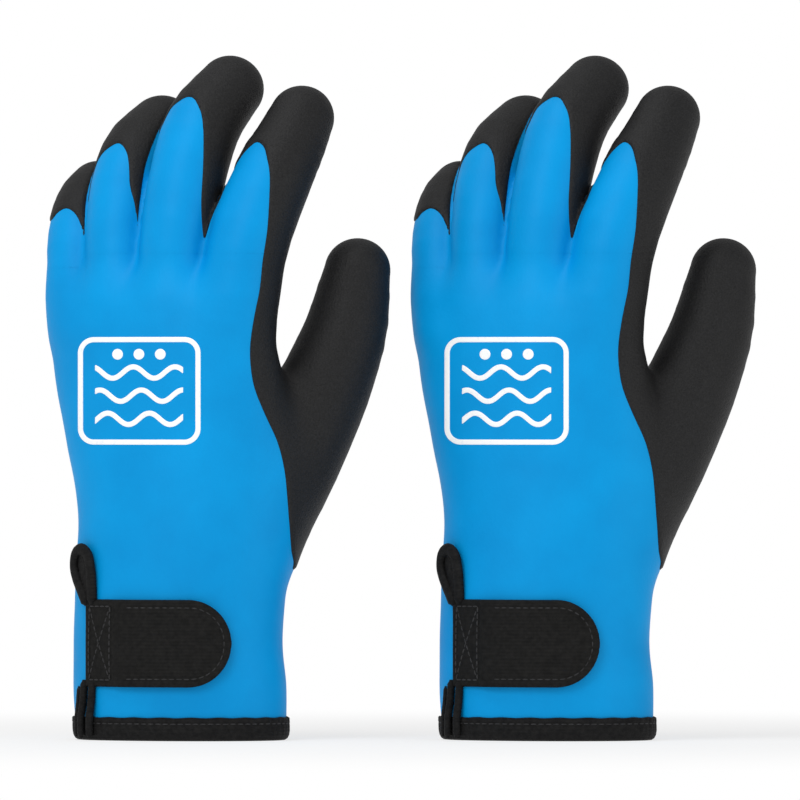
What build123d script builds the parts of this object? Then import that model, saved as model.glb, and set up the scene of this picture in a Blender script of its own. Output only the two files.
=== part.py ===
"""A pair of waterproof sailing gloves, standing on their cuffs.

Each glove is a left-hand glove built in its own frame: +Z from the hem to the fingertips, +Y to the
palm, +X to the thumb, with the hem's lower edge at Z = 0. The fingers are filled out as if worn and
curl towards the palm. Every layer follows one body surface at its own depth below the outside: rubber
coating, latex shell, fleece liner. The pair is written twice, once for each glove's place.
"""

import os
from math import cos, radians, sin

from build123d import *

# ---- Driving dimensions, millimetres and degrees -------------------------------------------------

glove_pitch = 136.6  # from one glove to the other
glove_shift_x = -13.2  # centres the pair on the origin
glove_shift_y = -15.3

coating_depths = (0.0, 0.6)  # outer and inner depth of each layer
shell_depths = (0.7, 1.6)
liner_depths = (1.7, 3.3)
seat_clearance = 0.35  # between a finger's ball and the hand
ball_overhang = 0.7  # a limb's ball ends are this much wider than the limb where they meet

knuckle_turn = 32.0  # how far the row of knuckles is turned from X
flex_limit = 45.0  # finger towards the palm
extend_limit = 15.0  # finger towards the back
mitre = 25.0  # share of the fold cut from the finger itself
thumb_open_limit = 25.0
thumb_close_limit = 8.0
thumb_mitre = 15.0

hem_height = 8.7
hem_floor = 0.9  # the layers stop this far above the hem's lower edge
coating_lower_edge = 61.0

strap_low, strap_high = 20.0, 52.5
strap_sewn_x = -35.4
strap_fold_x = -25.0
strap_tip_x = 19.4
strap_depths = (-3.3, -1.9)  # negative depths stand proud of the body
hook_depths = (-1.8, -1.0)
loop_depths = (-0.9, -0.1)

# Hand sections: height, centre X, centre Y, half width, half depth, turn.
hand_sections = [
    (hem_floor, 0.2, 0.0, 39.6, 25.0, 13.0),
    (38.0, -1.1, 0.0, 39.4, 25.0, 13.0),
    (85.0, 1.8, 0.3, 41.0, 24.0, 15.0),
    (110.0, -0.3, 0.6, 44.5, 22.4, 18.0),
    (137.0, -5.0, 1.5, 45.6, 21.5, 22.0),
    (158.0, -7.9, 2.3, 46.4, 20.8, 25.0),
    (182.0, -7.0, 3.5, 47.6, 18.0, 26.0),
]
thenar_spine = [(26, 2, 80, 17.5), (38, 4, 101, 18.0), (50, 6, 122, 17.3)]

# Finger spines, base to tip: X, Y, Z, radius. The first point is the joint's pivot.
finger_spines = {
    "index": [
        (22.7, -11.4, 176, 13.1), (25.5, -10.5, 189, 13.7), (33, -6, 210, 14.5),
        (38.5, -1, 221, 13.2), (44.7, 6, 232, 11.5),
    ],
    "middle": [
        (-1.9, -2.8, 176, 12.0), (-0.8, -2.5, 190, 12.6), (3.5, 3.5, 217, 13.9),
        (8.6, 10, 231, 13.6), (17.1, 20, 243, 11.9),
    ],
    "ring": [
        (-22.2, 9.8, 176, 10.6), (-22.3, 12.2, 189, 12.0), (-20.2, 19.5, 206, 13.0),
        (-15.3, 29, 219, 13.2), (-7.4, 40, 228.2, 12.4),
    ],
    "little": [
        (-37.8, 20.7, 172, 8.0), (-38.6, 24.5, 182, 9.2), (-38.4, 33, 193, 10.6),
        (-36.5, 41, 200, 11.0), (-34, 49, 204.8, 10.8),
    ],
}
thumb_spine = [(50, 6, 122, 16.3), (54.5, 7, 134, 16.3), (61, 8.4, 154, 14.2), (65.9, 10, 175, 11.9)]

# The blue lobe up each finger's back: half width at the base, and its tip's height along Z.
lobe_shapes = {"index": (13.0, 222.5), "middle": (12.5, 239.0), "ring": (11.0, 222.6), "little": (9.0, 198.0)}

# Edge of the palm coating beside the thumb, seen from the back: X, Z.
coating_edge = [(41.5, 61), (40.5, 85), (37.5, 107), (31.0, 123), (26.6, 141), (29.0, 162), (32.0, 186)]

# Badge printed on the back: left, right, bottom and top, line width, wave count.
badge_left, badge_right, badge_low, badge_high = -38.0, 8.0, 110.0, 150.0
badge_line = 1.8
badge_waves = 3

# ---- Directions ----------------------------------------------------------------------------------

across = Vector(cos(radians(knuckle_turn)), -sin(radians(knuckle_turn)), 0)  # towards the index side
palmward = Vector(sin(radians(knuckle_turn)), cos(radians(knuckle_turn)), 0)
thumb_out = Vector(0.8, -0.6, 0)  # the way the thumb opens
thumb_across = Vector(0.6, 0.8, 0)
far = 120.0  # longer than any cut needs


def tangents(spine):
    """Unit directions along a spine, one at each of its points."""
    points = [Vector(x, y, z) for x, y, z, _ in spine]
    last = len(points) - 1
    return [(points[min(i + 1, last)] - points[max(i - 1, 0)]).normalized() for i in range(len(points))]


def ray(angle, length=far):
    """A point at this angle from straight up, turning towards the sketch's +X."""
    return length * sin(radians(angle)), length * cos(radians(angle))


def lean(direction, sideways):
    """How far a direction leans from straight up towards a sideways direction, in degrees."""
    return direction_angle(direction.dot(sideways), direction.Z)


def direction_angle(side, up):
    return Vector(0, 1, 0).get_signed_angle(Vector(side, up, 0), Vector(0, 0, -1))


# ---- Shapes that the layers share ----------------------------------------------------------------


def hand_body(depth):
    """The cuff and palm as one smooth loft, this deep below the outside."""
    with BuildPart() as body:
        for z, x, y, half_width, half_depth, turn in hand_sections:
            side = (cos(radians(turn)), -sin(radians(turn)), 0)
            with BuildSketch(Plane(origin=(x, y, z), x_dir=side, z_dir=(0, 0, 1))):
                Ellipse(half_width - depth, half_depth - depth)
        loft()
    return body.part


def tapered_tube(spine, depth):
    """A smooth round limb along a spine, this deep below the outside."""
    with BuildPart() as limb:
        for i, ((x, y, z, radius), heading) in enumerate(zip(spine, tangents(spine))):
            slack = ball_overhang if i in (0, len(spine) - 1) else 0
            with BuildSketch(Plane(origin=(x, y, z), x_dir=(1, 0, 0), z_dir=heading)):
                Circle(radius - depth - slack)
        loft()
    return limb.part


def fold_wedge(pivot, sideways, lateral, angles, reach):
    """The space above two rays from a pivot, which the hand leaves free for a limb's swing."""
    start = pivot - lateral * reach[0]
    with BuildPart() as wedge:
        with BuildSketch(Plane(origin=start, x_dir=sideways, z_dir=lateral)):
            with BuildLine():
                back, front = ray(angles[0]), ray(angles[1])
                Polyline((0, 0), back, (back[0], far), (front[0], far), front, close=True)
            make_face()
        extrude(amount=reach[0] + reach[1])
    return wedge.part


def limb_solid(spine, depth, sideways, lateral, trim):
    """A finger or thumb as a solid: a ball at the pivot, the limb and a round tip."""
    x, y, z, base_radius = spine[0]
    tip_x, tip_y, tip_z, tip_radius = spine[-1]
    rest = lean(tangents(spine)[0], sideways)
    with BuildPart() as limb:
        add(tapered_tube(spine, depth))
        with Locations((tip_x, tip_y, tip_z)):
            Sphere(tip_radius - depth)
        with BuildSketch(Plane(origin=(x, y, z), x_dir=sideways, z_dir=lateral)):
            with BuildLine():
                Polyline((0, 0), ray(rest + 90 - trim, 40), ray(rest + 110, 40), close=True)
            make_face()
        extrude(amount=40, both=True, mode=Mode.SUBTRACT)
        with Locations((x, y, z)):
            Sphere(base_radius - depth)
    return limb.part


def limb_layer(spine, depths, sideways, lateral, trim):
    """One hollow layer of a finger or thumb, open towards the hand."""
    x, y, z, base_radius = spine[0]
    heading = tangents(spine)[0]
    open_side = (heading - sideways * 0.45).normalized()
    with BuildPart() as layer:
        add(limb_solid(spine, depths[0], sideways, lateral, trim))
        add(limb_solid(spine, depths[1], sideways, lateral, trim), mode=Mode.SUBTRACT)
        mouth = Plane(origin=Vector(x, y, z) - open_side * (0.42 * base_radius), z_dir=open_side)
        split(bisect_by=mouth, keep=Keep.TOP)
    return layer.part


def lobe_cutter(spine, half_width, tip_height):
    """The pointed leaf on a finger's back where the blue shell shows."""
    x, y, z, base_radius = spine[0]
    tip = [p for p in spine if p[2] <= tip_height + 12][-1]
    rise = tip_height - z
    drift = (Vector(tip[0] - x, tip[1] - y, 0)).dot(across) * 0.75
    with BuildPart() as leaf:
        with BuildSketch(Plane(origin=(x, y, z), x_dir=across, z_dir=-palmward)):
            with BuildLine():
                side_low, side_high = (-half_width, -20.0), (half_width, -20.0)
                left_mid = (drift * 0.4 - half_width * 0.86, rise * 0.45)
                right_mid = (drift * 0.4 + half_width * 0.86, rise * 0.45)
                Line(side_low, side_high)
                ThreePointArc(side_high, right_mid, (drift, rise))
                ThreePointArc((drift, rise), left_mid, side_low)
            make_face()
        extrude(amount=far)
    return leaf.part


def seat_cuts():
    """What every hand layer leaves free for the finger balls and their swing."""
    pivots = {name: Vector(*spine[0][:3]) for name, spine in finger_spines.items()}
    order = ["little", "ring", "middle", "index"]
    stations = [pivots[name].dot(across) for name in order]
    edges = [stations[0] - 60] + [(a + b) / 2 for a, b in zip(stations, stations[1:])] + [stations[-1] + 60]
    cuts = []
    for i, name in enumerate(order):
        rest = lean(tangents(finger_spines[name])[0], palmward)
        angles = (rest - extend_limit - 90, rest + flex_limit + 90 - mitre)
        reach = (stations[i] - edges[i], edges[i + 1] - stations[i])
        cuts.append(fold_wedge(pivots[name], palmward, across, angles, reach))
    return cuts


def hand_solid(depth):
    """Cuff, palm and the root of the thumb, this deep below the outside."""
    heading = tangents(thumb_spine)[0]
    rest = lean(heading, thumb_out)
    angles = (rest - thumb_close_limit - 90, rest + thumb_open_limit + 90 - thumb_mitre)
    thumb_pivot = Vector(*thumb_spine[0][:3])
    with BuildPart() as root:
        add(tapered_tube(thenar_spine, depth))
        swing = fold_wedge(thumb_pivot, thumb_out, -thumb_across, angles, (far, far))
        add(swing, mode=Mode.SUBTRACT)
    with BuildPart() as hand:
        add(hand_body(depth))
        add(root.part)
    return hand.part


def hand_layer(depths):
    """One hollow layer of the hand, open at the cuff and at the finger and thumb seats."""
    with BuildPart() as layer:
        add(hand_solid(depths[0]))
        add(hand_solid(depths[1]), mode=Mode.SUBTRACT)
        for cut in seat_cuts():
            add(cut, mode=Mode.SUBTRACT)
        for spine in [*finger_spines.values(), thumb_spine]:
            with Locations(spine[0][:3]):
                Sphere(spine[0][3] + seat_clearance, mode=Mode.SUBTRACT)
    return layer.part


def cuff_skin(depths, outline):
    """A thin layer on the cuff's back, cut to an outline drawn in X and Z."""
    with BuildPart() as skin:
        add(hand_body(depths[0]))
        add(hand_body(depths[1]), mode=Mode.SUBTRACT)
        with BuildSketch(Plane.XZ):
            add(outline)
        extrude(amount=far, mode=Mode.INTERSECT)
    return skin.part


def largest_solid(part):
    """The main solid of a cut, without the slivers beside it."""
    with BuildPart() as main:
        add(part.solids().sort_by(SortBy.VOLUME)[-1])
    return main.part


# ---- Hand layers ---------------------------------------------------------------------------------

pieces = {}

pieces["hand_shell"] = largest_solid(hand_layer(shell_depths))
pieces["hand_liner"] = largest_solid(hand_layer(liner_depths))

with BuildPart() as coating_zone:
    with BuildSketch(Plane.XY.offset(coating_lower_edge)):
        with BuildLine():
            Polyline((-90, 37), (90, -37), (90, 90), (-90, 90), close=True)
        make_face()
    extrude(amount=far)
    with BuildSketch(Plane.XZ):
        with BuildLine():
            Polyline(*coating_edge, (32, 190), (110, 190), (110, 61), close=True)
        make_face()
    extrude(amount=far, both=True)

with BuildPart() as palm_coating:
    add(hand_layer(coating_depths))
    add(coating_zone.part, mode=Mode.INTERSECT)
pieces["palm_coating"] = largest_solid(palm_coating.part)

# ---- Fingers and thumb ---------------------------------------------------------------------------

limb_frames = {name: (spine, palmward, across, mitre) for name, spine in finger_spines.items()}
limb_frames["thumb"] = (thumb_spine, thumb_out, -thumb_across, thumb_mitre)

for limb_name, (limb_spine, sideways, lateral, trim) in limb_frames.items():
    pieces[limb_name + "_shell"] = limb_layer(limb_spine, shell_depths, sideways, lateral, trim)
    pieces[limb_name + "_liner"] = limb_layer(limb_spine, liner_depths, sideways, lateral, trim)
    with BuildPart() as limb_coating:
        add(limb_layer(limb_spine, coating_depths, sideways, lateral, trim))
        if limb_name in lobe_shapes:
            add(lobe_cutter(limb_spine, *lobe_shapes[limb_name]), mode=Mode.SUBTRACT)
    pieces[limb_name + "_coating"] = largest_solid(limb_coating.part)

# ---- Hem binding: a tape folded over the cuff's edge, inside and out ------------------------------

hem_outer, hem_inner = -1.2, liner_depths[1] + 1.0
with BuildPart() as hem_binding:
    for hem_depth, hem_mode in ((hem_outer, Mode.ADD), (hem_inner, Mode.SUBTRACT)):
        _, x, y, half_width, half_depth, turn = hand_sections[0]
        side = (cos(radians(turn)), -sin(radians(turn)), 0)
        with BuildSketch(Plane(origin=(x, y, 0), x_dir=side, z_dir=(0, 0, 1))):
            Ellipse(half_width - hem_depth, half_depth - hem_depth)
        extrude(amount=hem_height, mode=hem_mode)
    add(hand_body(-0.1), mode=Mode.SUBTRACT)
with BuildPart() as hem_inside:
    add(hand_body(liner_depths[1] + 0.1))
    add(hand_body(hem_inner), mode=Mode.SUBTRACT)
    with BuildSketch(Plane.XY):
        Rectangle(far, far)
    extrude(amount=hem_height, mode=Mode.INTERSECT)
with BuildPart() as hem:
    add(hem_binding.part)
    add(hem_inside.part)
pieces["hem_binding"] = hem.part

# ---- Wrist strap -----------------------------------------------------------------------------------

strap_middle = (strap_low + strap_high) / 2
strap_radius = (strap_high - strap_low) / 2


def strap_outline(start, tip, margin):
    """A band with one round end, drawn in X and Z."""
    half = strap_radius - margin
    with BuildSketch() as outline:
        with BuildLine():
            top, bottom = strap_middle + half, strap_middle - half
            Line((start, bottom), (tip - half, bottom))
            ThreePointArc((tip - half, bottom), (tip, strap_middle), (tip - half, top))
            Polyline((tip - half, top), (start, top), (start, bottom))
        make_face()
    return outline.sketch


with BuildSketch() as sewn_outline:
    with Locations(((strap_sewn_x + strap_fold_x - 1.2) / 2, strap_middle)):
        Rectangle(strap_fold_x - 1.2 - strap_sewn_x, 2 * strap_radius)

with BuildSketch() as stitch_outline:
    sewn_x = (strap_sewn_x + strap_fold_x - 1.2) / 2
    with Locations((sewn_x, strap_middle)):
        with GridLocations(5.6, 2.6, 2, 11):
            Rectangle(0.7, 1.7)

pieces["strap_sewn_end"] = cuff_skin((-3.3, -0.1), sewn_outline.sketch)
pieces["strap_stitching"] = cuff_skin((-3.7, -3.35), stitch_outline.sketch)
pieces["strap"] = cuff_skin(strap_depths, strap_outline(strap_fold_x + 0.4, strap_tip_x, 0))
pieces["strap_hook_patch"] = cuff_skin(hook_depths, strap_outline(-6.0, strap_tip_x - 2, 2.0))
pieces["cuff_loop_patch"] = cuff_skin(loop_depths, strap_outline(-14.0, strap_tip_x - 1, 1.0))

# ---- Slit binding: a bound slit at the cuff's outer edge, with a loop above the strap ------------

slit_normal = Vector(-0.824, -0.567, 0)
slit_plane = Plane(origin=(-34.6, -6.6, 0), x_dir=(0.567, -0.824, 0), z_dir=slit_normal)
with BuildPart() as slit_binding:
    with BuildSketch(slit_plane.offset(1.4)):
        with BuildLine():
            Polyline((-1.8, 53.6), (1.8, 53.6), (5.6, 64.5))
            ThreePointArc((5.6, 64.5), (0, 72.6), (-5.6, 64.5))
            Line((-5.6, 64.5), (-1.8, 53.6))
        make_face()
        with BuildLine():
            Polyline((-0.5, 59.0), (0.5, 59.0), (2.4, 65.0))
            ThreePointArc((2.4, 65.0), (0, 68.8), (-2.4, 65.0))
            Line((-2.4, 65.0), (-0.5, 59.0))
        make_face(mode=Mode.SUBTRACT)
    extrude(amount=2.6)
    with BuildSketch(slit_plane.offset(2.2)):
        with Locations((-2.4, 9.9), (3.2, 9.9)):
            Rectangle(2.6, 19.4)
    extrude(amount=2.4)
    add(hand_body(-0.1), mode=Mode.SUBTRACT)
    add(hem.part, mode=Mode.SUBTRACT)
pieces["slit_binding"] = slit_binding.part

# ---- Badge printed on the back ---------------------------------------------------------------------

badge_width, badge_height = badge_right - badge_left, badge_high - badge_low
badge_centre = ((badge_left + badge_right) / 2, (badge_low + badge_high) / 2)
with BuildSketch() as badge_outline:
    with Locations(badge_centre):
        RectangleRounded(badge_width, badge_height, 6)
        RectangleRounded(badge_width - 2 * badge_line, badge_height - 2 * badge_line, 4.5, mode=Mode.SUBTRACT)
    for row in range(badge_waves):
        wave_z = badge_low + badge_height * (0.26 + 0.22 * row)
        with BuildLine() as wave:
            for half in range(4):
                start = badge_left + badge_width * (0.16 + 0.17 * half)
                end = start + badge_width * 0.17
                bump = 2.2 if half % 2 == 0 else -2.2
                ThreePointArc((start, wave_z), ((start + end) / 2, wave_z + bump), (end, wave_z))
        trace(line_width=badge_line)
with BuildPart() as back_print:
    add(hand_body(0.3))
    add(hand_body(0.6), mode=Mode.SUBTRACT)
    with BuildSketch(Plane.XZ):
        add(badge_outline.sketch)
    extrude(amount=far, mode=Mode.INTERSECT)
pieces["back_print"] = back_print.part

# ---- Both gloves -----------------------------------------------------------------------------------

os.makedirs("parts", exist_ok=True)
for glove, place in (("glove_a", -glove_pitch / 2), ("glove_b", glove_pitch / 2)):
    for piece_name, piece in pieces.items():
        placed = Pos(place + glove_shift_x, glove_shift_y, 0) * piece
        placed.label = glove + "_" + piece_name
        export_step(placed, "parts/" + placed.label + ".step")
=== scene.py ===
"""Two waterproof dipped gloves: soft shells, coatings, linings, bindings, straps and a print."""

import math

import bpy
import numpy as np
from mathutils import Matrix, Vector


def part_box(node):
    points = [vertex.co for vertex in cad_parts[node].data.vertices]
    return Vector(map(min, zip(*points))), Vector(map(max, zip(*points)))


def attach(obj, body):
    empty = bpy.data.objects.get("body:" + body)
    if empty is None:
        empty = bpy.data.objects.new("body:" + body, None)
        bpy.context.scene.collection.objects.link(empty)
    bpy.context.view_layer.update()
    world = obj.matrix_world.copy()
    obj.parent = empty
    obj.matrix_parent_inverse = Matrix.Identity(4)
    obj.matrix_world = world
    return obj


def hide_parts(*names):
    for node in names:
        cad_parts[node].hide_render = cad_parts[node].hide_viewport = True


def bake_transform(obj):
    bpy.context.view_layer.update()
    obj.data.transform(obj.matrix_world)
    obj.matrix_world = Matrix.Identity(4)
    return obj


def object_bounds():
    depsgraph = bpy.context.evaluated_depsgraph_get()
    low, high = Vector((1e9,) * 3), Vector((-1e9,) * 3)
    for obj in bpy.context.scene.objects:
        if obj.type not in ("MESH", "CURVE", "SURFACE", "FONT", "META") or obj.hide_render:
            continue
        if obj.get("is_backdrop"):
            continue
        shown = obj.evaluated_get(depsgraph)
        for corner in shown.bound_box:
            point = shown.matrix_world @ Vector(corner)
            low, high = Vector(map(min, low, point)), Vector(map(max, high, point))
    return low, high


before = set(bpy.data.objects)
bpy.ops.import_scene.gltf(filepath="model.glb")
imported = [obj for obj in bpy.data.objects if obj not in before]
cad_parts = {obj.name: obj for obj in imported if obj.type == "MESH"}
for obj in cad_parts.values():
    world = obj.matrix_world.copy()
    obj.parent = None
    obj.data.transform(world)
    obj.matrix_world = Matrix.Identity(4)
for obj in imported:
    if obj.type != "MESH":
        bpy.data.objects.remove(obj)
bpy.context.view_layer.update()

MM = 0.001
GLOVES = {"glove_a": "a", "glove_b": "b"}

# ---- Glove shape, in each glove's own frame and in millimetres ----
# +Z runs from the hem to the fingertips, +Y to the palm and +X to the thumb.

# Cuff and palm sections: height, centre X, centre Y, half width, half depth, turn in degrees.
HAND_SECTIONS = np.array([
    (-8.0, 0.4, 0.0, 39.8, 24.8, 13.0),
    (4.0, 0.4, 0.0, 40.0, 25.0, 13.0),
    (20.0, -0.1, 0.0, 40.3, 25.2, 13.0),
    (38.0, -0.7, 0.0, 39.7, 24.8, 13.0),
    (62.0, 0.8, 0.1, 40.5, 24.8, 14.0),
    (85.0, 2.0, 0.3, 41.2, 23.8, 15.0),
    (110.0, 0.0, 0.6, 44.0, 22.2, 18.0),
    (137.0, -5.0, 1.5, 44.8, 21.0, 22.0),
    (158.0, -7.6, 2.3, 44.9, 19.4, 25.0),
    (186.0, -7.0, 4.0, 44.5, 15.5, 26.0),
])

# Finger spines, base to tip: X, Y, Z, radius.
SPINES = {
    "index": [
        (21, -12, 158, 13.2), (22.2, -12, 168, 14.2), (26.3, -10.5, 189, 14.9), (34.7, -6, 210, 14.4),
        (40.4, -1, 221, 12.9), (45.4, 6, 232, 11.5),
    ],
    "middle": [
        (-3, -3, 158, 12.5), (-2.5, -3, 168, 13.2), (-0.8, -2.5, 191, 13.5), (4.3, 3.5, 217, 14.1),
        (9.5, 10, 231, 13.5), (18.6, 20, 243, 11.8),
    ],
    "ring": [
        (-22, 7, 158, 12.0), (-22, 8, 166, 12.8), (-22.5, 12, 189, 13.0), (-20, 19.5, 206, 13.5),
        (-15.3, 29, 219, 13.3), (-7.4, 40, 228.2, 12.4),
    ],
    "little": [
        (-36, 13, 154, 11.0), (-37, 17, 162, 11.4), (-38.5, 24, 181, 11.6), (-37.4, 33, 193, 11.5),
        (-35.2, 41, 200.2, 11.4), (-31.5, 49, 205, 11.0),
    ],
    "thumb": [
        (28.5, 2.5, 75, 15.5), (39.3, 4, 98, 17.2), (50, 6, 122, 17.0), (56.5, 7.2, 138, 16.2),
        (61.9, 8.3, 153, 14.8), (66.1, 9.8, 174.8, 11.6),
    ],
}
# The four fingers, and every limb that is cut from the hand as a piece of its own.
FINGERS = ("index", "middle", "ring", "little")
LIMBS = (*FINGERS, "thumb")

# Outline of the bare blue back, seen square on: X, height. It runs up the thumb's side and then round
# each finger's pointed lobe, from index to little. The rest of it lies beyond the glove's outer edge.
BACK_OUTLINE = [
    (49, 54), (42.5, 66), (41, 79), (40, 92), (39, 101), (36.5, 111), (32, 121), (28, 131), (26.5, 140),
    (26.5, 148), (28, 158), (30, 168), (31, 178), (32.8, 190), (33.6, 203), (33.6, 211), (32.7, 217),
    (31.6, 221), (29, 223.2), (26, 221.8), (22.2, 218.3), (17.4, 211), (13.2, 200), (10.6, 190), (9.1, 185.4),
    (8.5, 191), (8.3, 200), (8.8, 211), (9, 222), (8.6, 231), (7.2, 236), (5.6, 239.2), (3.2, 240.3),
    (0, 239.4), (-4.5, 236.1), (-8.3, 229), (-11.6, 220.6), (-13.9, 212), (-15.3, 200.5), (-16, 191),
    (-16.8, 199.5), (-18.7, 207), (-19, 214), (-20.1, 220), (-22.9, 223.2), (-26.8, 222), (-30.9, 218.8),
    (-34, 212.5), (-35.9, 203), (-36.1, 194), (-35.7, 186), (-37, 191), (-39.2, 196.2), (-42.8, 198.8),
    (-46.6, 197.2), (-50, 193.5), (-60, 190), (-75, 190), (-75, 54),
]
BACK_CORNERS = ((9.1, 185.4), (-16, 191), (-35.7, 186), (-75, 190), (-75, 54), (49, 54))
BACK_FACING = 16.0  # the way the fingers' backs face, turned from square toward the little finger
COATING_FOOT = 61.0  # where the palm coating ends above the cuff

FINE, COARSE = 1.35, 2.6  # edge lengths of the surface meshes
HAND_TOP, HAND_ROUNDING = 174.5, 14.0  # where the hand ends under the fingers, and how round it is there
CROTCH, KNUCKLE, THUMB_WEB = 3.5, 7.0, 11.0  # how softly fingers, knuckles and thumb melt together
SURFACE_BOX = ((-57, -38, -6), (84, 66, 262))  # a box round the whole glove
FAR = 60.0  # stands in for a limb's distance where the limb is far off
CUFF_EDGE = 0.9  # the shell's lower edge, hidden in the hem
SHELL_THICKNESS = 1.3
COATING_LIFT = 0.62  # how far the coating stands out from the shell's surface
COATING_SINK = 0.35  # how far its hidden face lies below that surface
LINER_DEPTHS = (1.7, 3.3)  # the lining's outer and inner faces below the shell's surface
# Where each limb is cut from the hand: a height for a finger, a distance along the thumb for the thumb.
CUT_RISE = {"index": 181, "middle": 181, "ring": 181, "little": 176, "thumb": 6.0}
OVERLAP = 4.0  # how far neighbouring pieces run on under each other


def smooth_table(rows, count):
    """Rows resampled along a smooth curve through them."""
    rows = np.asarray(rows, float)
    padded_rows = np.vstack([2 * rows[0] - rows[1], rows, 2 * rows[-1] - rows[-2]])
    spots = np.linspace(0, len(rows) - 1, count)
    i = np.minimum(spots.astype(int), len(rows) - 2)
    t = (spots - i)[:, None]
    a, b, c, d = (padded_rows[i + k] for k in range(4))
    return b + 0.5 * t * (c - a + t * (2 * a - 5 * b + 4 * c - d + t * (3 * (b - c) + d - a)))


HAND_TABLE = smooth_table(HAND_SECTIONS, 90)
FINE_SPINES = {name: smooth_table(spine, 13) for name, spine in SPINES.items()}


def smooth_min(a, b, width):
    """The smaller of two values, rounded over where they are within this width of each other."""
    mix = np.clip(0.5 + 0.5 * (b - a) / width, 0, 1)
    return b + (a - b) * mix - width * mix * (1 - mix)


def smooth_max(a, b, width):
    return -smooth_min(-a, -b, width)


def hand_section(z):
    """Section values at each height: centre X, centre Y, half width, half depth, turn in radians."""
    values = [np.interp(z, HAND_TABLE[:, 0], HAND_TABLE[:, k]) for k in range(1, 6)]
    values[4] = np.radians(values[4])
    return values


def hand_coordinates(points):
    """Position across and through the hand at each point, in the section's own turned axes."""
    x, y, a, b, turn = hand_section(points[:, 2])
    dx, dy = points[:, 0] - x, points[:, 1] - y
    return dx * np.cos(turn) - dy * np.sin(turn), dx * np.sin(turn) + dy * np.cos(turn), a, b


def hand_distance(points):
    """About how far each point is outside the hand and cuff, which end in a rounded top."""
    u, v, a, b = hand_coordinates(points)
    reach = np.sqrt((u / a) ** 2 + (v / b) ** 2) + 1e-9
    slope = np.sqrt((u / a**2) ** 2 + (v / b**2) ** 2) / reach + 1e-9
    wall = np.clip((reach - 1) / slope, -30, 60)
    return smooth_max(wall, points[:, 2] - HAND_TOP, HAND_ROUNDING)


def limb_distance(points, spine):
    """Distance outside a limb that tapers from ball to ball along its spine."""
    best = np.full(len(points), 1e9)
    for start, end in zip(spine, spine[1:]):
        along = end[:3] - start[:3]
        t = np.clip((points - start[:3]) @ along / (along @ along), 0, 1)
        offset = points - start[:3] - t[:, None] * along
        distance = np.sqrt(np.einsum("ij,ij->i", offset, offset)) - (start[3] + t * (end[3] - start[3]))
        np.minimum(best, distance, out=best)
    return best


def glove_distance(points):
    """Signed distance from the glove's outer surface: negative inside."""
    field = hand_distance(points)
    fingers = np.full(len(points), FAR)
    for name in FINGERS:
        spine = FINE_SPINES[name]
        close = points[:, 2] > spine[:, 2].min() - 30
        distance = np.full(len(points), FAR)
        distance[close] = limb_distance(points[close], spine)
        fingers = smooth_min(fingers, distance, CROTCH)
    field = smooth_min(field, fingers, KNUCKLE)
    close = points[:, 0] > -20
    thumb = np.full(len(points), FAR)
    thumb[close] = limb_distance(points[close], FINE_SPINES["thumb"])
    return smooth_min(field, thumb, THUMB_WEB) + surface_ripple(points)


def surface_ripple(points):
    """The slight unevenness of a soft dipped glove, in millimetres."""
    x, y, z = points.T
    return (
        0.22 * np.sin(0.055 * x + 0.041 * z + 0.7) * np.sin(0.083 * z - 0.05 * y)
        + 0.10 * np.sin(0.16 * x - 0.12 * z + 1.9) * np.sin(0.14 * z + 0.11 * y + 0.4)
    )


def surface_normals(points, step=0.25):
    """Outward directions at points, from differences of the distance over a short step."""
    normals = np.empty_like(points)
    for axis in range(3):
        shift = np.zeros(3)
        shift[axis] = step
        normals[:, axis] = glove_distance(points + shift) - glove_distance(points - shift)
    return normals / (np.linalg.norm(normals, axis=1)[:, None] + 1e-12)


def onto_surface(points, rounds=2):
    """Points moved along the surface's normals until they lie on it."""
    for _ in range(rounds):
        points = points - glove_distance(points)[:, None] * surface_normals(points)
    return points


# ---- Surface meshes ----


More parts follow.
